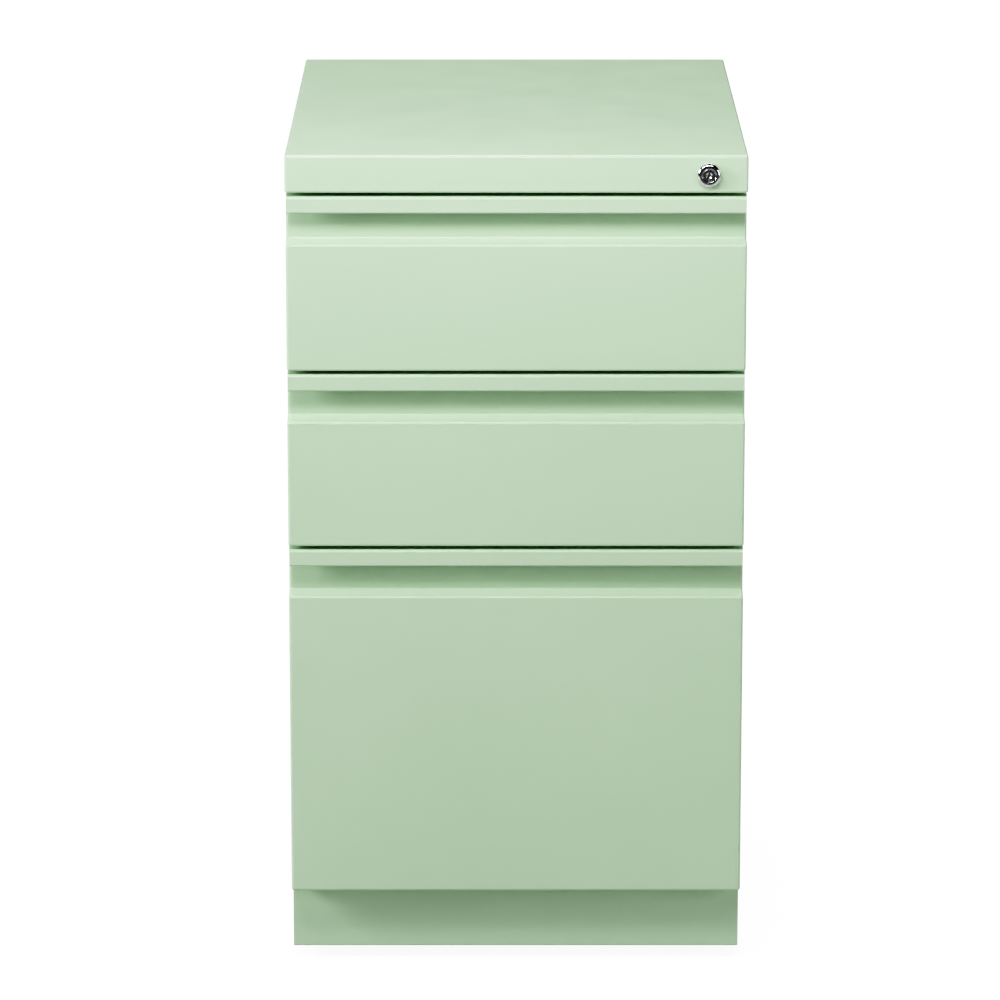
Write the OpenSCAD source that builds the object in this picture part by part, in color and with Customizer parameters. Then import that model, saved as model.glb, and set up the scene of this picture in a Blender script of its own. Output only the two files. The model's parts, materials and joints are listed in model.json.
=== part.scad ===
// Mobile pedestal file cabinet: a folded sheet-steel case with two box drawers over a
// file drawer on ball-bearing slides, and one lock that holds all three drawers shut.
// Millimetres. The origin is on the floor under the middle of the cabinet, +X is to the
// right seen from the front, -Y is towards the user and +Z is up.

/* [Cabinet] */
// Width of the top panel
cab_w = 381; // [371:1:421]
// Depth from the drawer faces to the back of the top panel
cab_d = 505; // [500:1:600]
// Height from the floor to the top panel
cab_h = 700; // [690:1:740]
// Height of the shell's lower edge above the floor
floor_gap = 12; // [8:1:20]
// Height of the top panel's folded edge
top_edge_h = 31.5; // [31:0.5:36]
// Height of the plinth's top edge above the floor
plinth_top = 72; // [70:1:76]
// Thickness of the sheet steel
sheet = 1; // [0.8:0.1:1.2]
// Radius of the folds, on the middle of the sheet
fold_r = 2; // [1.5:0.1:2.5]

/* [Drawers] */
// Height of each box drawer's front
box_front_h = 146.5; // [136:0.5:150]
// Height of the file drawer's lower edge above the floor
file_front_z = 68.5; // [67:0.5:72]
// Depth of a drawer front, from its face to the back of its liner
front_t = 22; // [20:1:26]
// Gap between one front and the next
front_gap = 3; // [2:0.5:5]
// Height of the pull's hanging lip
lip_h = 14; // [12:0.5:16]
// Height of the whole pull, from the lip's top to the ledge's outer fold
pull_h = 40.5; // [36:0.5:46]
// Depth of the pull's recess
pull_d = 14; // [12:0.5:16]
// Rise of the ledge from the face to the recess
pull_rise = 3.5; // [2:0.5:8]
// How far a drawer opens
travel = 420; // [380:10:430]

/* [Lock] */
// Distance from the cabinet's right side to the lock's axis
lock_inset = 32.5; // [32:0.5:38]
// Radius of the lock's head
lock_head_r = 10.25; // [9:0.25:12]
// How far the lock's face stands out from the top panel
lock_proud = 5; // [4:0.5:6]

/* [Hidden] */
DRAWERS = ["top", "middle", "file"];
DRAWER_NODES = ["drawer_front", "front_liner", "tray", "front_screws", "lock_catch",
                "slide_outers", "slide_middles", "slide_inners", "outer_cages", "inner_cages"];
CORNERS = ["front_left", "front_right", "rear_left", "rear_right"];

$fn = 48;
fold_n = 4;                                  // flats that make up one fold

// Case
half_w = cab_w / 2;
face_y = (lock_proud - cab_d) / 2;           // faces of the top panel and the fronts
back_y = face_y + cab_d;
skirt_z = cab_h - top_edge_h;                // lower edge of the top panel
side_x = half_w - sheet;                     // outer face of a side panel
case_front_y = face_y + front_t + 2;         // front of the side panels' flanges
case_back_y = back_y - sheet;                // back of the side panels' flanges
mouth_x = side_x - 18;                       // half of the opening between the flanges
fold_x = side_x - sheet - fold_r;            // half of the width clear of the side panels' folds
flange_in = 12;                              // how far the folded edges turn inwards
rivet_r = 2;
rivet_x = side_x - 8;
rivet_z = [for (i = [0:5]) floor_gap + 30 + i * (skirt_z - floor_gap - 60) / 5];

// Drawers, listed from the top one down
front_half_w = half_w - 0.5;
front_z = [skirt_z - front_gap - box_front_h,
           skirt_z - 2 * (front_gap + box_front_h),
           file_front_z];
front_h = [box_front_h, box_front_h, front_z[1] - front_gap - file_front_z];
liner_y = face_y + front_t;                  // back of the liner
liner_t = 7;
return_d = front_t - 4;                      // depth of a front's bottom return
hem_d = 2.5;                                 // hem inside the lip of a pull
hem_h = 6.5;
lip_inset = 0.75;                            // how much the lip is cut back at each end
tray_x = side_x - 28.7;                      // outer face of a tray's side
tray_y0 = liner_y;
tray_y1 = tray_y0 + travel + 30;
tray_z = [for (z = front_z) z + 8];
tray_h = [102, 102, front_h[2] - 58];
hem = 5;                                     // inward fold along a tray's top
screw_x = 120;
screw_r = 2;
function screw_z(i) = [tray_z[i] + 20, tray_z[i] + tray_h[i] - 20];

// Slides: u runs inwards from the uprights' face, v up from the slide's middle
slide_x = tray_x + 12.7;
slide_y0 = case_front_y + 14;
slide_len = travel + 20;
slide_z = [tray_z[0] + 34, tray_z[1] + 34, tray_z[2] + 90];
outer_path = [[9, 18.6], [9, 22.4], [0.6, 22.4], [0.6, -22.4], [9, -22.4], [9, -18.6]];
middle_path = [[10.4, 14.2], [10.4, 17.6], [3.2, 17.6], [3.2, -17.6], [10.4, -17.6], [10.4, -14.2]];
inner_path = [[5.2, 13.2], [12.1, 13.2], [12.1, -13.2], [5.2, -13.2]];
member_t = 1.2;
cage_len = slide_len / 2 - 5;
cage_y0 = slide_y0 + (slide_len - cage_len) / 2;
balls_per_row = 6;

// Uprights that carry the slides
upright_y = [slide_y0 + 37, slide_y0 + slide_len - 38]; // front edge of each
upright_w = 30;
upright_foot = 8;

// Base and casters
pan_top = 57;
pan_z = pan_top - sheet;
channel_t = 1.5;
channel_drop = 10;                           // from the pan down to the channel's face
plate_top = pan_z - channel_drop;
caster_x = half_w - 42.5;
caster_y = [case_front_y + 61, back_y - 50];
plate_t = 2;
plate_bottom = plate_top - plate_t;
bolt_r = 2.5;
bolt_at = [19, 17];                          // caster bolts, from the swivel's axis
kingpin_r = 4;
wheel_r = 19;
wheel_w = 15;
axle_r = 2.5;
trail = 14;                                  // axle's distance behind the swivel's axis
fork_top = plate_bottom - 3;
weight_y = [back_y - 215, back_y - 25];
weight_half_w = 150;
weight_t = 14;
weight_bolts = [for (x = [-1, 1], y = [weight_y[0] + 25, weight_y[1] - 25])
    [x * (weight_half_w - 25), y]];

// Lock
lock_x = half_w - lock_inset;
lock_z = cab_h - 16;
lock_face_y = face_y - lock_proud;
barrel_r = 8;
plug_r = 5.5;
barrel_back_y = case_front_y + 13;
plug_back_y = barrel_back_y + 4;
cam_t = 2;
cam_reach = 8;                               // from the lock's axis to the drive pin
pin_r = 2;
pin_rest = [lock_x + cam_reach * cos(45), lock_z - cam_reach * sin(45)];
bar_y0 = plug_back_y + 4;
bar_w = 18;
bar_x0 = mouth_x + 6.5;
bar_t = 2;
catch_z = [for (z = slide_z) z + 44];
weld = 0.05;                                 // gap at a spot-welded joint
guide_z = [catch_z[2] + 40, catch_z[1] - 60, catch_z[0] - 60];

paint = [0.76, 0.86, 0.74];
zinc = [0.70, 0.72, 0.74];
chrome = [0.86, 0.87, 0.88];
nylon = [0.12, 0.12, 0.13];
rubber = [0.20, 0.20, 0.21];
iron = [0.32, 0.33, 0.34];

// ---- Paths of folded sheet ----

function unit(v) = v / norm(v);
function left_of(v) = [-v.y, v.x];
function turned(v, a) = [v.x * cos(a) - v.y * sin(a), v.x * sin(a) + v.y * cos(a)];
function reversed(v) = [for (i = [len(v) - 1:-1:0]) v[i]];

// Arc that replaces the corner b between a and c, of radius r where there is room
function corner(a, b, c, r) =
    let (u = unit(a - b), v = unit(c - b),
         half = acos(u * v) / 2,
         reach = min(r / tan(half), 0.45 * norm(a - b), 0.45 * norm(c - b)),
         centre = b + unit(u + v) * reach / cos(half),
         start = b + u * reach - centre,
         turn = sign(cross(-u, v)) * (180 - 2 * half))
    [for (k = [0:fold_n]) centre + turned(start, turn * k / fold_n)];

// Open path with every inner corner folded to radius r
function bent(path, r) =
    [for (i = [0:len(path) - 1])
        each (i == 0 || i == len(path) - 1) ? [path[i]] : corner(path[i - 1], path[i], path[i + 1], r)];

// The path moved d to its left, with mitred corners
function beside(path, d) =
    [for (i = [0:len(path) - 1])
        let (n1 = left_of(unit(i == 0 ? path[1] - path[0] : path[i] - path[i - 1])),
             n2 = i == len(path) - 1 ? n1 : left_of(unit(path[i + 1] - path[i])),
             m = n1 + n2)
        path[i] + m * 2 * d / (m * m)];

module strip(path, t = sheet)
    polygon(concat(beside(path, t / 2), reversed(beside(path, -t / 2))));

module slab(low, high)
    translate(low) cube(high - low);

// Extrudes a (Y, Z) outline along X, or an (X, Z) outline along Y
module along_x(x0, x1)
    translate([x0, 0, 0]) rotate([90, 0, 90]) linear_extrude(x1 - x0) children();
module along_y(y0, y1)
    translate([0, y1, 0]) rotate([90, 0, 0]) linear_extrude(y1 - y0) children();

// Cylinder along Y, through the point (x, z)
module rod_y(x, z, y0, y1, r)
    translate([x, y0, z]) rotate([-90, 0, 0]) cylinder(r = r, h = y1 - y0);

module both_sides() {
    children();
    mirror([1, 0, 0]) children();
}

// ---- Case ----

module top_panel() {
    color(paint) {
        difference() {
            slab([-half_w, face_y, skirt_z], [half_w, back_y, cab_h]);
            slab([-side_x, face_y + sheet, skirt_z - 1], [side_x, back_y - sheet, cab_h - sheet]);
            rod_y(lock_x, lock_z, face_y - 1, face_y + 5, barrel_r + 0.1);
        }
        slab([-side_x, face_y + sheet, skirt_z], [side_x, face_y + 18, skirt_z + sheet]);
    }
}

// Right-hand side panel, folded inwards along its front and back edges
module side_panel() {
    middle_x = side_x - sheet / 2;
    front_y = case_front_y + sheet / 2;
    rear_y = case_back_y - sheet / 2;
    return_x = mouth_x + sheet / 2;
    path = [[return_x, front_y + flange_in], [return_x, front_y], [middle_x, front_y],
            [middle_x, rear_y], [middle_x - 15, rear_y]];
    color(paint) difference() {
        translate([0, 0, floor_gap])
            linear_extrude(cab_h - sheet - floor_gap) strip(bent(path, fold_r));
        for (z = rivet_z) rod_y(rivet_x, z, case_back_y - 3, case_back_y + 1, rivet_r + 0.1);
    }
}

module back_panel() {
    panel_y = case_back_y - 1.5 * sheet;
    path = [[panel_y - flange_in, floor_gap + sheet / 2], [panel_y, floor_gap + sheet / 2],
            [panel_y, cab_h - 1.5 * sheet], [panel_y - flange_in, cab_h - 1.5 * sheet]];
    color(paint) difference() {
        along_x(-fold_x, fold_x) strip(bent(path, fold_r));
        both_sides()
            for (z = rivet_z) rod_y(rivet_x, z, case_back_y - 4, case_back_y + 1, rivet_r + 0.1);
    }
}

module back_panel_rivets() {
    blind_y = case_back_y - 2 * sheet;
    color(zinc) both_sides() for (z = rivet_z) {
        rod_y(rivet_x, z, blind_y - 3, case_back_y + 0.3, rivet_r);
        rod_y(rivet_x, z, case_back_y, case_back_y + 0.9, 4);
        rod_y(rivet_x, z, blind_y - 3, blind_y, 2.8);
    }
}

module base_pan() {
    inner_x = side_x - sheet;
    front_y = case_front_y + flange_in + 1.5;
    rear_y = case_back_y - sheet - fold_r;
    color(paint) difference() {
        slab([-inner_x, front_y, pan_z - 8], [inner_x, rear_y, pan_top]);
        slab([-inner_x + sheet, front_y + sheet, pan_z - 9], [inner_x - sheet, rear_y - sheet, pan_z]);
        for (p = weight_bolts) translate([p.x, p.y, pan_z - 1]) cylinder(r = 3.2, h = 4);
    }
}

// Kick panel under the file drawer, welded to the front of the side panels
module plinth_panel() {
    return_x = mouth_x - 0.5;
    back = case_front_y + flange_in;
    color(paint) {
        slab([-side_x, case_front_y - sheet, floor_gap], [side_x, case_front_y, plinth_top]);
        for (z = [floor_gap, plinth_top - sheet])
            slab([-return_x, case_front_y - sheet, z], [return_x, back, z + sheet]);
    }
}

// Rail that joins the side panels behind the top panel's edge and holds the lock
module lock_rail() {
    rail_x = mouth_x - 0.5;
    y = case_front_y + sheet / 2;
    low = skirt_z + 1.5;
    high = cab_h - 1.5 * sheet;
    path = [[y + flange_in, low], [y, low], [y, high], [y + flange_in, high]];
    color(paint) difference() {
        along_x(-rail_x, rail_x) strip(bent(path, fold_r));
        rod_y(lock_x, lock_z, case_front_y - 1, case_front_y + 3, barrel_r + 0.1);
    }
}

// Two hat sections inside the right-hand side panel
module uprights() {
    foot_x = side_x - 1.5 * sheet;
    web_x = slide_x + sheet / 2;
    color(zinc) for (y = upright_y) {
        path = [[foot_x, y - upright_foot], [foot_x, y], [web_x, y],
                [web_x, y + upright_w], [foot_x, y + upright_w],
                [foot_x, y + upright_w + upright_foot]];
        translate([0, 0, pan_top]) linear_extrude(skirt_z - pan_top) strip(bent(path, fold_r));
    }
}

module drawer_bumpers() {
    color(rubber) both_sides() for (i = [0:2], z = [front_z[i] + 25, front_z[i] + front_h[i] - 25])
        rod_y(side_x - 9.5, z, case_front_y - 1.8, case_front_y, 5);
}

// ---- Base ----

module caster_channels() {
    half = 28;
    foot = 12;
    high = pan_z - channel_t / 2;
    low = plate_top + channel_t / 2;
    color(zinc) for (y = caster_y) {
        path = [[y - half - foot, high], [y - half, high], [y - half, low],
                [y + half, low], [y + half, high], [y + half + foot, high]];
        difference() {
            along_x(-side_x + 3.5, side_x - 3.5) strip(bent(path, fold_r), channel_t);
            caster_bolt_places(y) translate([0, 0, plate_top - 1]) cylinder(r = bolt_r + 0.2, h = 4);
        }
    }
}

module caster_bolt_places(y)
    for (x = [-caster_x, caster_x], dx = [-1, 1] * bolt_at.x, dy = [-1, 1] * bolt_at.y)
        translate([x + dx, y + dy, 0]) children();

module counterweight() {
    color(iron) difference() {
        slab([-weight_half_w, weight_y[0], pan_top], [weight_half_w, weight_y[1], pan_top + weight_t]);
        for (p = weight_bolts) translate([p.x, p.y, pan_top - 1]) cylinder(r = 3.2, h = weight_t + 2);
    }
}

// Hexagon head or nut of the given size across its corners
module hexagon(r, h)
    cylinder(r = r, h = h, $fn = 6);

module base_bolts() {
    color(zinc) {
        for (p = weight_bolts) translate([p.x, p.y, 0]) {
            translate([0, 0, pan_z - 6]) cylinder(r = 3, h = weight_t + 8);
            translate([0, 0, pan_top + weight_t]) hexagon(6, 2.8);
            translate([0, 0, pan_z - 5]) hexagon(6, 5);
        }
        for (y = caster_y) caster_bolt_places(y) {
            translate([0, 0, plate_bottom - 1]) cylinder(r = bolt_r, h = 10);
            translate([0, 0, plate_bottom - 2.8]) hexagon(4.6, 2.8);
            translate([0, 0, plate_top + channel_t]) hexagon(4.6, 4);
        }
    }
}

// Fixed half of each caster: plate, ball race and kingpin
module caster_plates() {
    color(zinc) for (x = [-caster_x, caster_x], y = caster_y) translate([x, y, 0]) {
        difference() {
            slab([-26, -24, plate_bottom], [26, 24, plate_top]);
            for (dx = [-1, 1] * bolt_at.x, dy = [-1, 1] * bolt_at.y)
                translate([dx, dy, plate_bottom - 1]) cylinder(r = bolt_r + 0.2, h = plate_t + 2);
        }
        difference() {
            translate([0, 0, fork_top + 0.2]) cylinder(r = 13, h = plate_bottom - fork_top);
            translate([0, 0, fork_top]) cylinder(r = 8, h = plate_bottom - fork_top);
        }
        translate([0, 0, fork_top - 3.6]) cylinder(r = kingpin_r, h = plate_bottom - fork_top + 4);
        translate([0, 0, fork_top - 3.6]) cylinder(r = 6, h = 1.8);
    }
}

function caster_place(i) = [(i % 2 == 0 ? -1 : 1) * caster_x, caster_y[floor(i / 2)], 0];

module caster_fork(i) {
    disc_t = 1.5;
    arm_x = wheel_w / 2 + 1.3;
    color(zinc) translate(caster_place(i)) {
        difference() {
            union() {
                translate([0, 0, fork_top - disc_t]) cylinder(r = 14, h = disc_t);
                both_sides() {
                    along_x(arm_x, arm_x + disc_t)
                        polygon([[-9, fork_top], [9, fork_top], [trail + 6.5, wheel_r + 3],
                                 [trail - 6.5, wheel_r - 3]]);
                    translate([arm_x, trail, wheel_r]) rotate([0, 90, 0]) cylinder(r = 7, h = disc_t);
                    translate([arm_x + disc_t, trail, wheel_r]) rotate([0, 90, 0]) cylinder(r = 4, h = 1.2);
                }
                translate([-arm_x - disc_t, trail, wheel_r]) rotate([0, 90, 0])
                    cylinder(r = axle_r, h = 2 * (arm_x + disc_t));
            }
            translate([0, 0, fork_top - disc_t - 1]) cylinder(r = kingpin_r + 0.05, h = disc_t + 2);
        }
    }
}

module caster_wheel(i) {
    w = wheel_w / 2;
    color(rubber) translate(caster_place(i) + [0, trail, wheel_r]) rotate([0, 90, 0])
        rotate_extrude() polygon([[axle_r + 0.05, -w - 0.8], [5.5, -w - 0.8], [5.5, -w + 2], [13, -w + 2],
            [13.5, -w], [wheel_r - 2, -w], [wheel_r - 0.5, -w + 1], [wheel_r, -w + 3],
            [wheel_r, w - 3], [wheel_r - 0.5, w - 1], [wheel_r - 2, w], [13.5, w],
            [13, w - 2], [5.5, w - 2], [5.5, w + 0.8], [axle_r + 0.05, w + 0.8]]);
}

// ---- Lock ----

// Solid of revolution about the lock's axis; the outline is (radius, Y)
module lock_turned(outline)
    translate([lock_x, 0, lock_z]) rotate([-90, 0, 0]) rotate_extrude() polygon(outline);

module lock_barrel() {
    flat_r = lock_head_r - 2.85;
    dome = [for (a = [0:15:90]) [flat_r + 2.85 * sin(a), lock_face_y + 3.6 * (1 - cos(a))]];
    color(chrome) lock_turned(concat([[plug_r + 0.05, barrel_back_y], [plug_r + 0.05, lock_face_y]],
        dome, [[lock_head_r, face_y], [barrel_r, face_y], [barrel_r, barrel_back_y]]));
}

module lock_nut() {
    color(zinc) translate([lock_x, case_front_y + sheet, lock_z]) rotate([-90, 0, 0]) difference() {
        hexagon(12.5, 5);
        translate([0, 0, -1]) cylinder(r = barrel_r + 0.05, h = 7);
    }
}

module lock_plug() {
    front = lock_face_y + 0.4;
    color(chrome) difference() {
        rod_y(lock_x, lock_z, front, plug_back_y, plug_r);
        slab([lock_x - 0.7, front - 1, lock_z - 4], [lock_x + 0.7, front + 20, lock_z + 4]);
    }
}

module lock_cam() {
    color(zinc) {
        rod_y(lock_x, lock_z, plug_back_y, plug_back_y + cam_t, 7);
        rod_y(pin_rest.x, pin_rest.y, plug_back_y, plug_back_y + cam_t, 4);
        translate([lock_x, plug_back_y, lock_z]) rotate([0, 45, 0])
            slab([0, 0, -4], [cam_reach, cam_t, 4]);
        rod_y(pin_rest.x, pin_rest.y, plug_back_y, bar_y0 + 3, pin_r);
    }
}

// Bar that the cam lifts; its hooks then stand in front of the drawers' catches
module lock_bar() {
    slot_h = pin_r + 0.35;
    tab_top = pin_rest.y + 7;
    tab_x0 = lock_x + 1.6;
    color(zinc) {
        slab([bar_x0, bar_y0, catch_z[2] - 20], [bar_x0 + bar_t, bar_y0 + bar_w, tab_top]);
        difference() {
            slab([tab_x0, bar_y0, pin_rest.y - 7], [bar_x0 - weld, bar_y0 + 2, tab_top]);
            slab([lock_x + 3, bar_y0 - 1, pin_rest.y - slot_h],
                 [lock_x + 10.6, bar_y0 + 3, pin_rest.y + slot_h]);
        }
        for (z = catch_z)
            slab([tray_x + 2.2, bar_y0 + 2, z - 14], [bar_x0 - weld, bar_y0 + 6, z - 2]);
    }
}

module lock_bar_guides() {
    room = 0.3;
    color(nylon) for (z = guide_z) difference() {
        slab([bar_x0 - 2.6, bar_y0 - 3, z], [side_x - sheet, bar_y0 + bar_w + 3.2, z + 16]);
        slab([bar_x0 - room, bar_y0 - room, z - 1], [bar_x0 + bar_t + room, bar_y0 + bar_w + room, z + 17]);
    }
}

// ---- Drawers ----

// Section of a drawer front from its bottom return to the hem of the pull's lip
function front_path(i) =
    let (h = sheet / 2, top = front_z[i] + front_h[i], y = face_y + h, low = front_z[i] + h,
         high = top - h, ledge = top - pull_h, wall = face_y + pull_d, lip = top - lip_h + h)
    [[face_y + return_d, low], [y, low], [y, ledge], [wall, ledge + pull_rise], [wall, high],
     [y, high], [y, lip], [y + hem_d, lip], [y + hem_d, lip + hem_h]];

module drawer_front(i) {
    top = front_z[i] + front_h[i];
    path = front_path(i);
    end = concat([for (k = [0:4]) path[k]], [[path[0].x, path[4].y]]);
    color(paint) difference() {
        union() {
            along_x(-front_half_w, front_half_w) strip(bent(path, fold_r));
            both_sides() along_x(front_half_w - sheet, front_half_w) polygon(bent(end, fold_r));
        }
        both_sides() slab([front_half_w - lip_inset, face_y - 1, top - lip_h - 1],
                          [front_half_w + 1, face_y + pull_d - 3, top + 1]);
    }
}

// Pan that stiffens a front: its back sheet and four flanges
module front_liner(i) {
    low = front_z[i] + sheet;
    high = front_z[i] + front_h[i] - sheet;
    x = front_half_w - 2.5;
    y0 = liner_y - liner_t;
    y1 = liner_y - sheet - weld;
    color(paint) {
        difference() {
            slab([-x, liner_y - sheet, low], [x, liner_y, high]);
            both_sides() for (z = screw_z(i)) rod_y(screw_x, z, liner_y - 5, liner_y + 1, screw_r + 0.1);
        }
        both_sides() slab([x - sheet, y0, low], [x, y1, high]);
        for (z = [low, high - sheet]) slab([-x + sheet + weld, y0, z], [x - sheet - weld, y1, z + sheet]);
    }
}

// Tray: floor, sides, ends and the hems along its top, spot-welded at the corners
module tray(i) {
    top = tray_z[i] + tray_h[i];
    wall_z = tray_z[i] + sheet + weld;
    inside_x = tray_x - sheet;
    end_x = inside_x - weld;
    color(paint) {
        slab([-tray_x, tray_y0, tray_z[i]], [tray_x, tray_y1, tray_z[i] + sheet]);
        both_sides() {
            slab([inside_x, tray_y0, wall_z], [tray_x, tray_y1, top]);
            slab([inside_x - hem, tray_y0 + sheet + weld, top - sheet],
                 [end_x, tray_y1 - sheet - weld, top]);
        }
        difference() {
            slab([-end_x, tray_y0, wall_z], [end_x, tray_y0 + sheet, top]);
            both_sides() for (z = screw_z(i)) rod_y(screw_x, z, tray_y0 - 1, tray_y0 + 3, screw_r + 0.1);
        }
        slab([-end_x, tray_y1 - sheet, wall_z], [end_x, tray_y1, top]);
        slab([hem + weld - inside_x, tray_y1 - sheet - hem, top - sheet],
             [inside_x - hem - weld, tray_y1 - sheet - weld, top]);
    }
}

module front_screws(i) {
    color(zinc) both_sides() for (z = screw_z(i)) {
        rod_y(screw_x, z, liner_y - 5, tray_y0 + sheet, screw_r);
        rod_y(screw_x, z, tray_y0 + sheet, tray_y0 + sheet + 2.2, 3.6);
        rod_y(screw_x, z, liner_y - sheet - 3, liner_y - sheet, 3.4);
    }
}

module lock_catch(i) {
    y = bar_y0 + 8;
    color(zinc) {
        slab([tray_x, y, catch_z[i]], [tray_x + 9.7, y + 4, catch_z[i] + 10]);
        slab([tray_x, y, catch_z[i]], [tray_x + 1.2, y + 22, catch_z[i] + 10]);
    }
}

// Rails along the file drawer's sides that hanging folders hook over
module hanging_rails() {
    top = tray_z[2] + tray_h[2];
    inside_x = tray_x - sheet;
    color(zinc) both_sides() {
        slab([inside_x - 7.8, tray_y0 + 6, top], [inside_x, tray_y1 - 6, top + 1.2]);
        slab([inside_x - 7.8, tray_y0 + 6, top], [inside_x - 6.6, tray_y1 - 6, top + 10]);
    }
}

// ---- Slides ----

// Both members of a pair with the given (u, v) section
module slide_pair(i, section, t, y0, len)
    both_sides() along_y(y0, y0 + len)
        strip([for (p = bent(section, t)) [slide_x - p[0], slide_z[i] + p[1]]], t);

module slide_outers(i)
    color(zinc) slide_pair(i, outer_path, member_t, slide_y0, slide_len);

module slide_middles(i)
    color(zinc) slide_pair(i, middle_path, member_t, slide_y0 + 1, slide_len - 2);

module slide_inners(i)
    color(zinc) slide_pair(i, inner_path, member_t, slide_y0 + 2, slide_len - 4);

// Cages with a row of balls above and below: u0 and v0 place the cage's web and
// flanges, u1 is the flanges' edge and u2 the balls' line
module ball_cages(i, u0, v0, u1, u2, ball_r) {
    t = 0.8;
    row = [for (k = [0:balls_per_row - 1]) cage_y0 + 12 + k * (cage_len - 24) / (balls_per_row - 1)];
    path = [[u1, v0], [u0, v0], [u0, -v0], [u1, -v0]];
    color(nylon) difference() {
        slide_pair(i, path, t, cage_y0, cage_len);
        both_sides() for (y = row) translate([slide_x - u2, y, slide_z[i] - v0 - 2])
            cylinder(r = ball_r + 0.4, h = 2 * v0 + 4);
    }
    color(chrome) both_sides() for (y = row, v = [-v0, v0])
        translate([slide_x - u2, y, slide_z[i] + v]) sphere(r = ball_r);
}

module outer_cages(i)
    ball_cages(i, 1.9, 20, 7.6, 5.2, 1.5);

module inner_cages(i)
    ball_cages(i, 4.5, 15.4, 9.4, 7.4, 1.35);

// ---- Nodes ----

top_panel();
mirror([1, 0, 0]) side_panel();  // left_side_panel
side_panel();  // right_side_panel
back_panel();
back_panel_rivets();
base_pan();
plinth_panel();
lock_rail();
mirror([1, 0, 0]) uprights();  // left_uprights
uprights();  // right_uprights
drawer_bumpers();
caster_channels();
counterweight();
base_bolts();
caster_plates();
lock_barrel();
lock_nut();
lock_plug();
lock_cam();
lock_bar();
lock_bar_guides();
hanging_rails();
for (i = [0:2]) {
    drawer_front(i);
    front_liner(i);
    tray(i);
    front_screws(i);
    lock_catch(i);
    slide_outers(i);
    slide_middles(i);
    slide_inners(i);
    outer_cages(i);
    inner_cages(i);
}
for (i = [0:3]) {
    caster_fork(i);
    caster_wheel(i);
}
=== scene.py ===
import json
import math

import bmesh
import bpy
from mathutils import Matrix, Vector


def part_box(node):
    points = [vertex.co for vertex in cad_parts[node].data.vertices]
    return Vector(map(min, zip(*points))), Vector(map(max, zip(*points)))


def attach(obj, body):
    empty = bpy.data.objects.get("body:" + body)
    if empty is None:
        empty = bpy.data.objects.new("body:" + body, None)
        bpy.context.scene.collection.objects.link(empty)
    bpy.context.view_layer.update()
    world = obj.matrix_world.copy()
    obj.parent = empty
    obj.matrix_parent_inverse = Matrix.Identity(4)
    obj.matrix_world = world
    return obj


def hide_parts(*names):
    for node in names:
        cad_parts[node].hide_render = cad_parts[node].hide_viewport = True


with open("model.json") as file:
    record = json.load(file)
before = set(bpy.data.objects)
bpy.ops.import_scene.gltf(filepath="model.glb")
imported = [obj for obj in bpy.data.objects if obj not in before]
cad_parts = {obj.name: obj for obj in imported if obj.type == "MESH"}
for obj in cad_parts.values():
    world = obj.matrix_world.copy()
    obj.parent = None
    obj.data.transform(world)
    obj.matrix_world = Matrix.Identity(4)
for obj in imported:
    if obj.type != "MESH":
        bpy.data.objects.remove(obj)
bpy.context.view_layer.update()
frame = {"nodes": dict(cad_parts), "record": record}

# The finished look of a sage-green steel pedestal file. Metres, in the CAD's frame:
# +X to the right seen from the front, -Y towards the user, +Z up.

MM = 0.001
DRAWERS = ("top", "middle", "file")
CORNERS = ("front_left", "front_right", "rear_left", "rear_right")

# ---- Sizes that the CAD boxes don't give, as the sheet metal has them ----

SHEET = 1.0 * MM          # thickness of the painted sheet
HALF_SHEET = SHEET / 2
FOLD = 2.0 * MM           # radius of a fold, on the middle of the sheet
PLINTH_FOLD = 1.2 * MM    # the same on the plinth, which is bent tighter
FOLD_STEPS = 7            # flats that make up one fold
FOLD_REACH = 0.45         # share of a flat that the fold at one of its ends may take
EDGE = 0.22 * MM          # rounding of a cut edge under its paint
END_ROUND = 2.2 * MM      # rounding of the side edges of the top and the drawer fronts
FLANGE_ROUND = 0.3 * MM   # rounding of the side edges behind a drawer's front
LEAST_ROUND = 0.05 * MM   # a round corner never gets sharper than this

TOP_RETURN = 18 * MM      # depth of the fold under the top panel's front edge
SIDE_RETURN = 12 * MM     # depth of the fold inside a side panel's front edge
REAR_RETURN = 15.5 * MM   # width of the fold at a side panel's rear edge
CUT_CLEAR = 5 * MM        # how far a cutter reaches past the sheet it opens

PULL_HEIGHT = 40.5 * MM   # top of a drawer front down to the foot of the pull's ledge
LEDGE_RISE = 3.5 * MM     # rise of the ledge from the face to the recess's wall
RECESS = 14 * MM          # depth of the recess behind the face
LIP = 14 * MM             # height of the lip that hangs over the recess
LIP_BACK = 2.5 * MM       # distance of the lip's turned-up hem behind the lip
LIP_HEM = 6.5 * MM        # height of that hem
FLANGE_INSET = 0.75 * MM  # how far the side flanges stand in from the front's side edges
FLANGE_STEP = 3 * MM      # length of the taper between the two at the recess's top

TRAY_BOTTOM = 20 * MM     # width of the tray's bottom that belongs to its folded ring
TRAY_CORNER = 3 * MM      # radius of the tray's upright corners, outside
TRAY_HEM = 5.5 * MM       # width of the hem along the tray's top
TRAY_HEM_DROP = 4 * MM    # depth of that hem

# ---- How the meshes and the picture are finished ----

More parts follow.
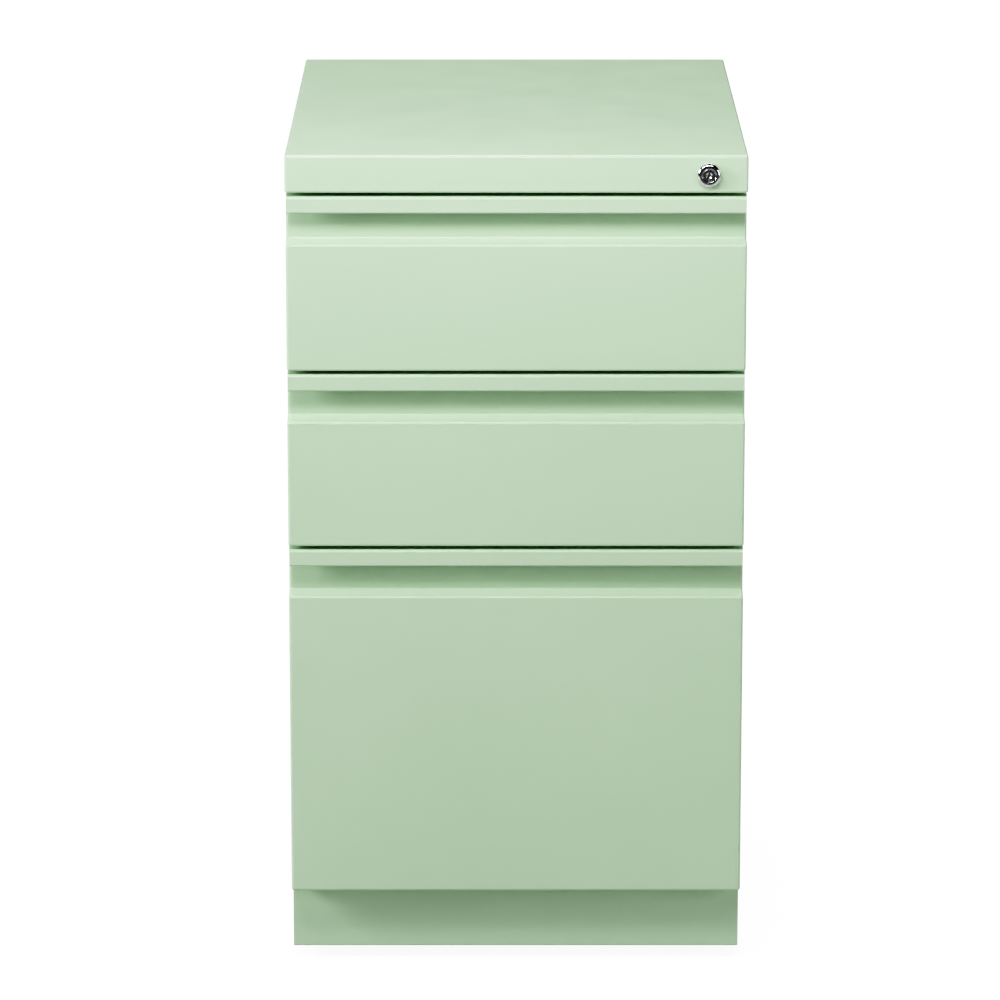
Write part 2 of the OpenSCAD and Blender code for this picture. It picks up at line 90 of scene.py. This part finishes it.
EDGE_SEGMENTS = 2         # flats across a rounded edge
SHARP = 40                # degrees between faces that count as an edge
FLAT_WEIGHT = 80          # how strongly large flats rule the shading beside an edge
BARREL_EDGE = 0.08 * MM   # rounding of the lock barrel's edges
PLUG_EDGE = 0.07 * MM     # rounding of the plug's edges
LOCK_SHARP = 30
TYRE_EDGE = 0.1 * MM      # rounding of a tyre's edges
HUB_EDGE = 0.15 * MM      # rounding of a hub's edges
CAD_EDGE = 0.15 * MM      # rounding of the edges of a CAD solid
CAD_SHARP = 35
CAD_WELD = 0.005 * MM     # vertices of a CAD solid this close are one
CAD_FLAT = 1              # degrees between faces of a CAD solid that count as one flat
LOCK_STEPS = 96           # flats round the lock
WHEEL_STEPS = 72          # flats round a wheel

FLOOR_GREY = 0.55         # share of the light that the floor gives back
FLOOR_GLOW = 1.45         # light that the camera sees the floor and the room give out
ROOM_LIGHT = 0.02         # light that the room really gives
FILM_WHITE = 1.9          # light that the picture shows as white
FILM_MIDDLE = 0.57        # light at the middle of the film's curve
FILM_CONTRAST = 1.82      # steepness of the film's curve
FILM_KNOTS = 12           # stretches of the curve
FILM_CURVE = 3            # the curve mapping's curve for red, green and blue together

MIX_FIRST = 6             # the Mix node's colour sockets
MIX_SECOND = 7
MIX_RESULT = 2


# ---- Outlines ----

def arc(centre, start, turn, steps):
    """Points on an arc about centre from the point start, turning by turn radians."""
    offset = Vector(start) - Vector(centre)
    return [Vector(centre) + Matrix.Rotation(turn * k / steps, 2) @ offset for k in range(steps + 1)]


def bent(path, radius, steps=FOLD_STEPS):
    """The open path of 2-D points with its inner corners folded to radius where there is room."""
    points = [Vector(p) for p in path]
    out = [points[0]]
    for a, b, c in zip(points, points[1:], points[2:]):
        u = (a - b).normalized()
        v = (c - b).normalized()
        half = u.angle(v) / 2
        room = FOLD_REACH * min((a - b).length, (c - b).length)
        reach = min(radius / math.tan(half), room)
        centre = b + (u + v).normalized() * reach / math.cos(half)
        side = 1 if (-u).x * v.y - (-u).y * v.x > 0 else -1
        out += arc(centre, b + u * reach, side * (math.pi - 2 * half), steps)
    return out + [points[-1]]


def beside(path, distance):
    """The open path moved to its left by distance, with mitred corners."""
    out = []
    last = len(path) - 1
    for i, p in enumerate(path):
        before = (path[max(i, 1)] - path[max(i, 1) - 1]).normalized()
        after = (path[min(i, last - 1) + 1] - path[min(i, last - 1)]).normalized()
        mitre = Vector((-before.y - after.y, before.x + after.x))
        out.append(p + mitre * 2 * distance / mitre.length_squared)
    return out


def ribbon(path, thickness):
    """Closed outline of sheet that follows the path."""
    return beside(path, thickness / 2) + beside(path, -thickness / 2)[::-1]


def round_rectangle(low, high, radius, steps=4):
    """Anticlockwise outline of a rectangle with round corners."""
    out = []
    radius = max(radius, LEAST_ROUND)
    for k, (sx, sy) in enumerate(((-1, -1), (1, -1), (1, 1), (-1, 1))):
        x = high[0] - radius if sx > 0 else low[0] + radius
        y = high[1] - radius if sy > 0 else low[1] + radius
        start = math.pi + k * math.pi / 2
        out += [Vector((x + radius * math.cos(start + math.pi / 2 * j / steps),
                        y + radius * math.sin(start + math.pi / 2 * j / steps)))
                for j in range(steps + 1)]
    return out


# ---- Meshes ----

def new_piece(name, mesh_edit, body, material):
    """An object from a bmesh, with its normals outwards, that rides on a body."""
    bmesh.ops.recalc_face_normals(mesh_edit, faces=mesh_edit.faces)
    mesh = bpy.data.meshes.new(name)
    mesh_edit.to_mesh(mesh)
    mesh_edit.free()
    mesh.shade_smooth()
    piece = bpy.data.objects.new(name, mesh)
    bpy.context.scene.collection.objects.link(piece)
    mesh.materials.append(material)
    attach(piece, body)
    return piece


def soften(piece, width=EDGE, angle=SHARP):
    """Rounds a piece's sharp edges and keeps its flats flat in shading."""
    bevel = piece.modifiers.new("rounded_edges", "BEVEL")
    bevel.width = width
    bevel.segments = EDGE_SEGMENTS
    bevel.limit_method = "ANGLE"
    bevel.angle_limit = math.radians(angle)
    bevel.use_clamp_overlap = True
    weighted = piece.modifiers.new("flat_shading", "WEIGHTED_NORMAL")
    weighted.keep_sharp = True
    weighted.weight = FLAT_WEIGHT


def band(edit, low, high):
    """Faces between two closed rings of vertices that have the same count."""
    count = len(low)
    for k in range(count):
        after = (k + 1) % count
        edit.faces.new((low[k], low[after], high[after], high[k]))


def loft(edit, loops):
    """Solid over rings of points that have the same count, closed at both ends."""
    rings = [[edit.verts.new(p) for p in loop] for loop in loops]
    for low, high in zip(rings, rings[1:]):
        band(edit, low, high)
    edit.faces.new(rings[0][::-1])
    edit.faces.new(rings[-1])


def prism(edit, outline, start, end, place):
    """Straight prism of a closed outline; place(u, v, w) gives the point."""
    loft(edit, [[place(p[0], p[1], w) for p in outline] for w in (start, end)])


def along_x(u, v, w):
    """Point of an outline in Y and Z that runs along X."""
    return Vector((w, u, v))


def along_z(u, v, w):
    """Point of an outline in X and Y that runs along Z."""
    return Vector((u, v, w))


def turned(place, radius, height, step, steps):
    """Point number step of steps on a circle; place(x, y, h) gives the point."""
    angle = 2 * math.pi * step / steps
    return place(radius * math.cos(angle), radius * math.sin(angle), height)


def revolve(edit, profile, place, steps):
    """Turned ring: profile is a closed outline of (radius, height)."""
    rings = [[edit.verts.new(turned(place, r, h, k, steps)) for r, h in profile] for k in range(steps)]
    for k in range(steps):
        band(edit, rings[k], rings[(k + 1) % steps])


def lathe(edit, profile, place, steps):
    """Turned solid with flat ends: profile is a row of (radius, height) from end to end."""
    loft(edit, [[turned(place, r, h, k, steps) for k in range(steps)] for r, h in profile])


def carve(piece, cutter_edit):
    """Cuts the cutter's bmesh out of the piece and applies the cut."""
    bmesh.ops.recalc_face_normals(cutter_edit, faces=cutter_edit.faces)
    mesh = bpy.data.meshes.new("cutter")
    cutter_edit.to_mesh(mesh)
    cutter_edit.free()
    cutter = bpy.data.objects.new("cutter", mesh)
    bpy.context.scene.collection.objects.link(cutter)
    cut = piece.modifiers.new("cut", "BOOLEAN")
    cut.operation = "DIFFERENCE"
    cut.solver = "EXACT"
    cut.use_self = True
    cut.object = cutter
    depsgraph = bpy.context.evaluated_depsgraph_get()
    carved = bpy.data.meshes.new_from_object(piece.evaluated_get(depsgraph))
    piece.modifiers.remove(cut)
    piece.data = carved
    bpy.data.objects.remove(cutter)


# ---- Materials ----

class Nodes:
    """Short calls for one material's node tree, in the object's own coordinates."""

    def __init__(self, name):
        self.material = bpy.data.materials.new(name)
        self.material.use_nodes = True
        self.tree = self.material.node_tree
        self.shader = self.tree.nodes["Principled BSDF"]
        self.where = self.tree.nodes.new("ShaderNodeTexCoord").outputs["Object"]

    def add(self, kind, **values):
        """A new node of a kind, with its settings."""
        node = self.tree.nodes.new(kind)
        for key, value in values.items():
            setattr(node, key, value)
        return node

    def link(self, source, target):
        self.tree.links.new(source, target)

    def noise(self, scale, detail=3.0, roughness=0.5, distortion=0.0, where=None):
        """Noise from 0 to 1 with scale features to the metre."""
        node = self.add("ShaderNodeTexNoise")
        node.inputs["Scale"].default_value = scale
        node.inputs["Detail"].default_value = detail
        node.inputs["Roughness"].default_value = roughness
        node.inputs["Distortion"].default_value = distortion
        self.link(where or self.where, node.inputs["Vector"])
        return node.outputs["Fac"]

    def spread(self, value, low=0.0, high=1.0, start=0.3, end=0.7):
        """Maps the middle of a noise onto low..high."""
        node = self.add("ShaderNodeMapRange")
        node.inputs["From Min"].default_value = start
        node.inputs["From Max"].default_value = end
        node.inputs["To Min"].default_value = low
        node.inputs["To Max"].default_value = high
        self.link(value, node.inputs["Value"])
        return node.outputs["Result"]

    def blend(self, factor, first, second):
        """Mix of two colours, each a tuple or a socket, by a factor socket."""
        node = self.add("ShaderNodeMix", data_type="RGBA")
        self.link(factor, node.inputs["Factor"])
        for number, value in ((MIX_FIRST, first), (MIX_SECOND, second)):
            if isinstance(value, tuple):
                node.inputs[number].default_value = (*value, 1)
            else:
                self.link(value, node.inputs[number])
        return node.outputs[MIX_RESULT]

    def bump(self, height, distance, strength, normal=None):
        """Normal of a relief: distance is its depth in metres."""
        node = self.add("ShaderNodeBump")
        node.inputs["Strength"].default_value = strength
        node.inputs["Distance"].default_value = distance
        self.link(height, node.inputs["Height"])
        if normal:
            self.link(normal, node.inputs["Normal"])
        return node.outputs["Normal"]

    def finish(self, colour, roughness, normal=None, **constants):
        """Joins the sockets to the shader, sets its constants and gives the material."""
        for socket, value in (("Base Color", colour), ("Roughness", roughness), ("Normal", normal)):
            if value is not None:
                self.link(value, self.shader.inputs[socket])
        for key, value in constants.items():
            self.shader.inputs[key.replace("_", " ")].default_value = value
        return self.material


def scaled(colour, factor):
    return tuple(c * factor for c in colour)


def powder_coat(name, colour):
    """Satin powder coat: fine orange peel, a little drift in tone and gloss."""
    n = Nodes(name)
    tone = n.spread(n.noise(scale=5, detail=4))
    speckle = n.spread(n.noise(scale=2600, detail=2), start=0.35, end=0.65)
    light = n.blend(tone, scaled(colour, 0.982), scaled(colour, 1.012))
    dark = n.blend(tone, scaled(colour, 0.968), scaled(colour, 1.0))
    paint = n.blend(speckle, light, dark)
    peel = n.bump(n.noise(scale=620, detail=3, roughness=0.45), distance=0.12 * MM, strength=0.35)
    fine = n.bump(n.noise(scale=2100, detail=2), distance=0.04 * MM, strength=0.25, normal=peel)
    gloss = n.spread(n.noise(scale=24, detail=5, roughness=0.6), low=0.31, high=0.37)
    return n.finish(paint, gloss, fine, Specular_IOR_Level=0.5)


def zinc_plate(name, colour):
    """Bright zinc: cloudy tone, drawing marks along the sheet, soft gloss."""
    n = Nodes(name)
    stretch = n.add("ShaderNodeMapping")
    stretch.inputs["Scale"].default_value = (1.0, 0.06, 1.0)
    n.link(n.where, stretch.inputs["Vector"])
    clouds = n.spread(n.noise(scale=60, detail=6, roughness=0.65, distortion=0.6))
    drawn = n.noise(scale=1400, detail=3, roughness=0.6, where=stretch.outputs["Vector"])
    tint = n.blend(clouds, scaled(colour, 0.86), scaled(colour, 1.06))
    gloss = n.spread(drawn, low=0.24, high=0.42)
    return n.finish(tint, gloss, n.bump(drawn, distance=0.03 * MM, strength=0.3), Metallic=1.0)


def chrome_plate(name, colour):
    """Polished chrome with a trace of handling marks."""
    n = Nodes(name)
    marks = n.noise(scale=900, detail=5, roughness=0.7, distortion=1.2)
    haze = n.spread(n.noise(scale=220, detail=3))
    tint = n.blend(haze, scaled(colour, 0.95), scaled(colour, 1.03))
    gloss = n.spread(marks, low=0.06, high=0.15)
    return n.finish(tint, gloss, n.bump(marks, distance=0.006 * MM, strength=0.3), Metallic=1.0)


def moulded(name, colour, roughness, grain=1500, depth=0.04 * MM):
    """Moulded plastic or rubber with a fine eroded texture and a little dust."""
    n = Nodes(name)
    texture = n.noise(scale=grain, detail=4, roughness=0.6)
    dust = n.spread(n.noise(scale=90, detail=5, roughness=0.6), start=0.4, end=0.75)
    dusty = tuple(c * 0.8 + 0.012 for c in colour)
    gloss = n.spread(n.noise(scale=40, detail=3), low=roughness - 0.06, high=roughness + 0.06)
    return n.finish(n.blend(dust, colour, dusty), gloss, n.bump(texture, distance=depth, strength=0.5))


def mill_scale(name, colour):
    """Dark rolled steel plate with mill scale."""
    n = Nodes(name)
    clouds = n.noise(scale=28, detail=7, roughness=0.7, distortion=0.8)
    patches = n.spread(clouds)
    pits = n.noise(scale=700, detail=5, roughness=0.65)
    tint = n.blend(patches, scaled(colour, 0.7), scaled(colour, 1.35))
    gloss = n.spread(patches, low=0.45, high=0.65)
    return n.finish(tint, gloss, n.bump(pits, distance=0.12 * MM, strength=0.5), Metallic=0.6)


def slot_colour(slot_name):
    """The record's colour of a material slot."""
    found = [m for m in frame["record"]["materials"] if m["slot"] == slot_name]
    return tuple(found[0]["base_color"][:3])


FINISH = {
    "paint": powder_coat("sage_powder_coat", slot_colour("paint")),
    "zinc": zinc_plate("bright_zinc", slot_colour("zinc")),
    "chrome": chrome_plate("polished_chrome", slot_colour("chrome")),
    "nylon": moulded("black_nylon", slot_colour("nylon"), roughness=0.42),
    "tread": moulded("wheel_tread", slot_colour("tread"), roughness=0.58, grain=900, depth=0.06 * MM),
    "rubber": moulded("grey_rubber", slot_colour("rubber"), roughness=0.75, grain=1100, depth=0.08 * MM),
    "iron": mill_scale("mill_scale", slot_colour("iron")),
}
NODE_SLOT = {row["node"]: row["material_slot"] for row in frame["record"]["subparts"]}


# ---- CAD nodes that stay: the slot's material and rounded edges ----

def dress_cad_node(node):
    """Gives a CAD node its slot's finish, and rounds its edges."""
    piece = frame["nodes"][node]
    for material_slot in piece.material_slots:
        material_slot.material = FINISH[NODE_SLOT[node]]
    if not piece.material_slots:
        piece.data.materials.append(FINISH[NODE_SLOT[node]])
    weld = piece.modifiers.new("weld", "WELD")
    weld.merge_threshold = CAD_WELD
    flats = piece.modifiers.new("flats", "DECIMATE")
    flats.decimate_type = "DISSOLVE"
    flats.angle_limit = math.radians(CAD_FLAT)
    soften(piece, CAD_EDGE, CAD_SHARP)


for node_name in frame["nodes"]:
    dress_cad_node(node_name)


# ---- Top panel ----

def end_rounded(edit, outline, half_width, rounding, steps=6):
    """Solid of a closed (Y, Z) outline along X with its end edges rounded.

    half_width and rounding are one number each or one per point of the outline.
    """
    count = len(outline)
    widths = half_width if isinstance(half_width, list) else [half_width] * count
    rounds = rounding if isinstance(rounding, list) else [rounding] * count
    area = sum(a.x * b.y - b.x * a.y for a, b in zip(outline, outline[1:] + outline[:1]))
    inward = 1 if area > 0 else -1
    normals = []
    for i, p in enumerate(outline):
        before = (p - outline[i - 1]).normalized()
        after = (outline[(i + 1) % count] - p).normalized()
        mitre = Vector((-before.y - after.y, before.x + after.x)) * inward
        normals.append(mitre * 2 / mitre.length_squared)
    loops = []
    for side in (-1, 1):
        ring_set = []
        for k in range(steps + 1):
            angle = math.pi / 2 * k / steps
            ring_set.append([
                along_x(*(p + n * r * (1 - math.cos(angle))), side * (w - r * (1 - math.sin(angle))))
                for p, n, r, w in zip(outline, normals, rounds, widths)])
        loops.append(ring_set)
    loft(edit, loops[0][::-1] + loops[1])


def make_top_panel():
    """A folded box of sheet: its inside is cut out, and its underside is open behind a return."""
    low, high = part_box("top_panel")
    half = high.x
    edit = bmesh.new()
    outline = bent([(high.y, low.z), (low.y, low.z), (low.y, high.z), (high.y, high.z),
                    (high.y, low.z)], FOLD + HALF_SHEET)[:-1]
    end_rounded(edit, outline, half, END_ROUND)
    piece = new_piece("top_panel_sheet", edit, "cabinet", FINISH["paint"])
    cavity = bent([(high.y - SHEET, low.z - CUT_CLEAR), (high.y - SHEET, high.z - SHEET),
                   (low.y + SHEET, high.z - SHEET), (low.y + SHEET, low.z + SHEET),
                   (low.y + TOP_RETURN, low.z + SHEET),
                   (low.y + TOP_RETURN, low.z - CUT_CLEAR)], FOLD - HALF_SHEET)
    cut = bmesh.new()
    prism(cut, cavity, -half + SHEET, half - SHEET, along_x)
    carve(piece, cut)
    soften(piece)
    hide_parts("top_panel")


# ---- Folded sheet that is a plain strip ----

def make_strip(node, path, start, end, place, radius=FOLD):
    """Sheet folded along path, which is its middle, from start to end across the path."""
    edit = bmesh.new()
    prism(edit, ribbon(bent(path, radius), SHEET), start, end, place)
    piece = new_piece(node + "_sheet", edit, "cabinet", FINISH[NODE_SLOT[node]])
    soften(piece)
    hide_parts(node)


def make_side_panel(node):
    """Side with its front edge folded inwards and back, and a return at its rear edge."""
    low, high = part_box(node)
    side = -1 if low.x < -high.x else 1
    outer = high.x if side > 0 else low.x
    inner = low.x if side > 0 else high.x
    front = low.y + HALF_SHEET
    rear = high.y - HALF_SHEET
    path = [(inner + side * HALF_SHEET, front + SIDE_RETURN), (inner + side * HALF_SHEET, front),
            (outer - side * HALF_SHEET, front), (outer - side * HALF_SHEET, rear),
            (outer - side * REAR_RETURN, rear)]
    make_strip(node, path, low.z, high.z, along_z)


def make_back_panel():
    """Back with its upper and lower edges folded forwards."""
    low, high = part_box("back_panel")
    path = [(low.y, low.z + HALF_SHEET), (high.y - HALF_SHEET, low.z + HALF_SHEET),
            (high.y - HALF_SHEET, high.z - HALF_SHEET), (low.y, high.z - HALF_SHEET)]
    make_strip("back_panel", path, low.x, high.x, along_x)


def make_plinth():
    """Kick plate with its upper and lower edges folded backwards."""
    low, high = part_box("plinth_panel")
    path = [(high.y, low.z + HALF_SHEET), (low.y + HALF_SHEET, low.z + HALF_SHEET),
            (low.y + HALF_SHEET, high.z - HALF_SHEET), (high.y, high.z - HALF_SHEET)]
    make_strip("plinth_panel", path, low.x, high.x, along_x, PLINTH_FOLD)


# ---- Drawer fronts ----

def make_drawer_front(drawer):
    """A front whose outline runs up the face, over the ledge, up the recess and round the
    hanging lip. It is closed behind, where the liner hides it."""
    node = drawer + "_drawer_front"
    low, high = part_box(node)
    face = low.y + HALF_SHEET
    floor = low.z + HALF_SHEET
    top = high.z - HALF_SHEET
    ledge = high.z - PULL_HEIGHT
    wall = low.y + RECESS
    lip = high.z - LIP + HALF_SHEET
    path = bent([(high.y, floor), (face, floor), (face, ledge), (wall, ledge + LEDGE_RISE),
                 (wall, top), (face, top), (face, lip),
                 (face + LIP_BACK, lip), (face + LIP_BACK, lip + LIP_HEM)], FOLD)
    seen = beside(path, HALF_SHEET)
    back = beside(path, -HALF_SHEET)

    # From the fold at the recess's top onwards the front is one sheet thick and a little
    # narrower. Up to there the outline closes along the front's rear plane.
    first = [point.y > top - 2 * FOLD for point in path].index(True)
    seen.insert(first, seen[first] - Vector((0, FLANGE_STEP)))
    outline = seen + back[:first + FOLD_STEPS - 1:-1] + [Vector((high.y, high.z))]
    main = first + 1
    tail = len(outline) - main - 1
    widths = [high.x] * main + [high.x - FLANGE_INSET] * tail + [high.x]
    rounds = [END_ROUND] * main + [FLANGE_ROUND] * (tail + 1)
    edit = bmesh.new()
    end_rounded(edit, outline, widths, rounds)
    piece = new_piece(node + "_sheet", edit, drawer + "_drawer", FINISH["paint"])
    soften(piece)
    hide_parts(node)


# ---- Lock ----

def lock_place(x, y, h):
    """Point at x, y from the lock's axis, seen from the front, and at Y = h."""
    low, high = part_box("lock_barrel")
    return Vector(((low.x + high.x) / 2 + x, h, (low.z + high.z) / 2 + y))


def make_barrel():
    """Barrel with a flat face, a domed rim over the panel and a narrower body behind it."""
    low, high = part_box("lock_barrel")
    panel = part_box("top_panel")[0].y
    head = (high.x - low.x) / 2
    face = low.y
    back = high.y
    flat = 7.4 * MM
    bore = 5.55 * MM
    bore_edge = 0.3 * MM
    body = 8 * MM
    rim = 0.7 * MM
    dome_steps = 10
    dome = []
    for k in range(dome_steps + 1):
        angle = math.pi / 2 * k / dome_steps
        dome.append((flat + (head - flat) * math.sin(angle),
                     face + (panel - rim - face) * (1 - math.cos(angle))))
    profile = [(bore, back), (bore, face + bore_edge), (bore + bore_edge, face), *dome,
               (head, panel), (body, panel), (body, back)]
    edit = bmesh.new()
    revolve(edit, profile, lock_place, LOCK_STEPS)
    barrel = new_piece("lock_barrel_turned", edit, "cabinet", FINISH["chrome"])
    soften(barrel, BARREL_EDGE, LOCK_SHARP)
    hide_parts("lock_barrel")


def make_plug():
    """Plug with a dished face and a blind keyway that has wards on both its sides."""
    low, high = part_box("lock_plug")
    front = low.y
    back = high.y
    radius = 5.5 * MM
    shoulder = 0.5 * MM
    shoulder_drop = 0.4 * MM
    dish_foot = 1.4 * MM
    dish_rim = 2.7 * MM
    dish = 0.95 * MM
    keyway_start = front - 1 * MM
    keyway_end = back - 3 * MM
    edit = bmesh.new()
    lathe(edit, [(dish_foot, front + dish), (dish_rim, front), (radius - shoulder, front),
                 (radius, front + shoulder_drop), (radius, back)], lock_place, LOCK_STEPS)
    plug = new_piece("lock_plug_turned", edit, "lock", FINISH["chrome"])
    keyway = [(-0.7, -4.2), (0.75, -4.2), (0.75, -1.6), (0.25, -1.1), (0.25, 0.6), (0.8, 1.2),
              (0.8, 4.2), (-0.55, 4.2), (-0.55, 1.9), (-0.95, 1.3), (-0.95, -0.4), (-0.7, -0.8)]
    cut = bmesh.new()
    loft(cut, [[lock_place(x * MM, z * MM, y) for x, z in keyway]
               for y in (keyway_start, keyway_end)])
    carve(plug, cut)
    soften(plug, PLUG_EDGE, LOCK_SHARP)
    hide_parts("lock_plug")


# ---- Trays ----

def make_tray(drawer):
    """Ring of sheet with folded bottom edges and a hem rolled inwards along its top."""
    node = drawer + "_tray"
    low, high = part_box(node)
    path = [(TRAY_BOTTOM, low.z + HALF_SHEET), (HALF_SHEET, low.z + HALF_SHEET),
            (HALF_SHEET, high.z - HALF_SHEET), (TRAY_HEM, high.z - HALF_SHEET),
            (TRAY_HEM, high.z - TRAY_HEM_DROP)]
    rings = []
    for inset, z in ribbon(bent(path, FOLD), SHEET):
        rectangle = round_rectangle((low.x + inset, low.y + inset), (high.x - inset, high.y - inset),
                                    TRAY_CORNER - inset)
        rings.append([Vector((x, y, z)) for x, y in rectangle])
    edit = bmesh.new()
    loft(edit, rings)
    piece = new_piece(node + "_sheet", edit, drawer + "_drawer", FINISH["paint"])
    soften(piece)
    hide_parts(node)


# ---- Casters ----

def symmetric(profile):
    """Closed outline of a wheel's profile of (radius, half width) and its mirror image."""
    return [(r, -h) for r, h in profile] + [(r, h) for r, h in profile[::-1]]


def make_wheel(corner):
    """Tyre with a crowned tread, on a hub with a sunk web and a boss round the axle."""
    node = "caster_wheel_" + corner
    low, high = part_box(node)
    centre = (low + high) / 2
    tread = (high.z - low.z) / 2
    half = 7.5 * MM
    seat = 14 * MM
    seat_gap = 0.02 * MM
    bevel = 0.4 * MM
    bead = 1.2 * MM
    flank = 0.5 * MM
    shoulder = 2.6 * MM
    crown_side = half - 0.2 * MM
    crown_drop = 0.9 * MM
    crown_run = 3.4 * MM
    crown_steps = 6
    axle = 2.55 * MM
    boss = 5.3 * MM
    boss_side = 8.3 * MM
    web_side = 5.4 * MM
    rim = 12.4 * MM
    rim_side = half - 0.8 * MM

    def place(x, y, h):
        return centre + Vector((h, x, y))

    crown = []
    for k in range(crown_steps, -1, -1):
        angle = math.pi / 2 * k / crown_steps
        crown.append((tread - crown_drop * (1 - math.cos(angle)),
                      crown_side - crown_run * (1 - math.sin(angle))))
    edit = bmesh.new()
    revolve(edit, symmetric([(seat, half - bead), (seat + bevel, half - flank),
                             (tread - shoulder, half), *crown]), place, WHEEL_STEPS)
    tyre = new_piece(node + "_tyre", edit, "wheel_" + corner, FINISH["tread"])
    soften(tyre, TYRE_EDGE)
    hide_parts(node)
    edit = bmesh.new()
    revolve(edit, symmetric([(axle, boss_side), (boss, boss_side), (boss + bevel, boss_side - bevel),
                             (boss + 1.5 * bevel, web_side + bevel / 2), (rim, web_side),
                             (rim + bevel, rim_side), (seat - seat_gap, rim_side)]), place, WHEEL_STEPS)
    hub = new_piece(node + "_hub", edit, "wheel_" + corner, FINISH["nylon"])
    soften(hub, HUB_EDGE)


make_top_panel()
make_side_panel("left_side_panel")
make_side_panel("right_side_panel")
make_back_panel()
make_plinth()
make_barrel()
make_plug()
for drawer_name in DRAWERS:
    make_drawer_front(drawer_name)
    make_tray(drawer_name)
for corner_name in CORNERS:
    make_wheel(corner_name)


# ---- Studio ----

def lit_for_camera(tree, dim, bright):
    """A strength that is bright where the camera looks at it and dim for every other ray."""
    seen = tree.nodes.new("ShaderNodeLightPath").outputs["Is Camera Ray"]
    strength = tree.nodes.new("ShaderNodeMapRange")
    strength.inputs["To Min"].default_value = dim
    strength.inputs["To Max"].default_value = bright
    tree.links.new(seen, strength.inputs["Value"])
    return strength.outputs["Result"]


def make_floor():
    """A wide pale floor."""
    reach = 30.0
    mesh = bpy.data.meshes.new("studio_floor")
    mesh.from_pydata([(-reach, -reach, 0), (reach, -reach, 0), (reach, reach, 0), (-reach, reach, 0)],
                     [], [(0, 1, 2, 3)])
    floor = bpy.data.objects.new("studio_floor", mesh)
    bpy.context.scene.collection.objects.link(floor)
    n = Nodes("pale_floor")
    tone = n.blend(n.spread(n.noise(scale=1.5)), (FLOOR_GREY,) * 3, (FLOOR_GREY + 0.02,) * 3)
    gloss = n.spread(n.noise(scale=6), low=0.60, high=0.68)
    n.link(lit_for_camera(n.tree, 0.0, FLOOR_GLOW), n.shader.inputs["Emission Strength"])
    mesh.materials.append(n.finish(tone, gloss, Emission_Color=(1, 1, 1, 1)))


def make_light(name, place, target, size, watts):
    """Soft white rectangle of light at place that faces target."""
    light = bpy.data.lights.new(name, "AREA")
    light.shape = "RECTANGLE"
    light.size, light.size_y = size
    light.energy = watts
    lamp = bpy.data.objects.new(name, light)
    bpy.context.scene.collection.objects.link(lamp)
    lamp.location = place
    lamp.rotation_euler = (Vector(target) - Vector(place)).to_track_quat("-Z", "Y").to_euler()


def make_world():
    """A white room that the camera sees bright and that lights the cabinet only faintly."""
    world = bpy.data.worlds.new("studio")
    world.use_nodes = True
    bpy.context.scene.world = world
    tree = world.node_tree
    background = tree.nodes["Background"]
    background.inputs["Color"].default_value = (1, 1, 1, 1)
    tree.links.new(lit_for_camera(tree, ROOM_LIGHT, FLOOR_GLOW), background.inputs["Strength"])


def make_camera():
    """Long lens well above the cabinet's top, tilted down and square to its face."""
    place = (-0.0134, -4.519, 1.455)
    tilt_down = 13.76
    lens = 190.2
    sensor = 36
    camera = bpy.data.cameras.new("camera")
    camera.lens = lens
    camera.sensor_width = sensor
    camera.clip_end = 100
    eye = bpy.data.objects.new("camera", camera)
    bpy.context.scene.collection.objects.link(eye)
    eye.location = place
    eye.rotation_euler = (math.radians(90 - tilt_down), 0, 0)
    bpy.context.scene.camera = eye


def film_response(light):
    """Share of white that the picture shows for a light, on an S-shaped curve."""
    def curve(level):
        return level ** FILM_CONTRAST / (level ** FILM_CONTRAST + FILM_MIDDLE ** FILM_CONTRAST)
    return curve(light) / curve(FILM_WHITE)


def set_film():
    """A camera's response: deep shadows and highlights that roll off to white."""
    settings = bpy.context.scene.view_settings
    settings.view_transform = "Standard"
    settings.use_curve_mapping = True
    mapping = settings.curve_mapping
    mapping.white_level = (FILM_WHITE,) * 3
    curve = mapping.curves[FILM_CURVE]
    curve.points[0].location = (0, 0)
    curve.points[1].location = (1, 1)
    for knot in range(1, FILM_KNOTS):
        share = (knot / FILM_KNOTS) ** 2
        curve.points.new(share, film_response(share * FILM_WHITE))
    mapping.update()


FRONT = (0, -0.2, 0.4)    # what the lights on the cabinet's front face
TOP = (0, -0.2, 0.8)      # what the lights above the cabinet face
SIDE = (0.19, 0, 0.4)
BACKDROP = (0, 4.6, 0)

make_floor()
make_world()
make_light("key", (-2.6, -1.1, 1.5), FRONT, size=(0.6, 1.0), watts=66)
make_light("front_fill", (-2.0, -2.4, 1.6), FRONT, size=(0.8, 0.8), watts=3)
make_light("right_fill", (1.6, -1.6, 0.8), FRONT, size=(0.8, 0.8), watts=11)
make_light("right_side", (2.6, 0.5, 1.1), SIDE, size=(1.0, 1.0), watts=11)
make_light("overhead_strip", (0, -0.8, 1.25), TOP, size=(0.9, 0.25), watts=4)
make_light("overhead", (-0.3, -0.9, 1.45), TOP, size=(0.8, 0.3), watts=5.5)
make_light("back_wash", (0, 3.4, 4.5), BACKDROP, size=(5, 4), watts=330)
make_camera()
set_film()
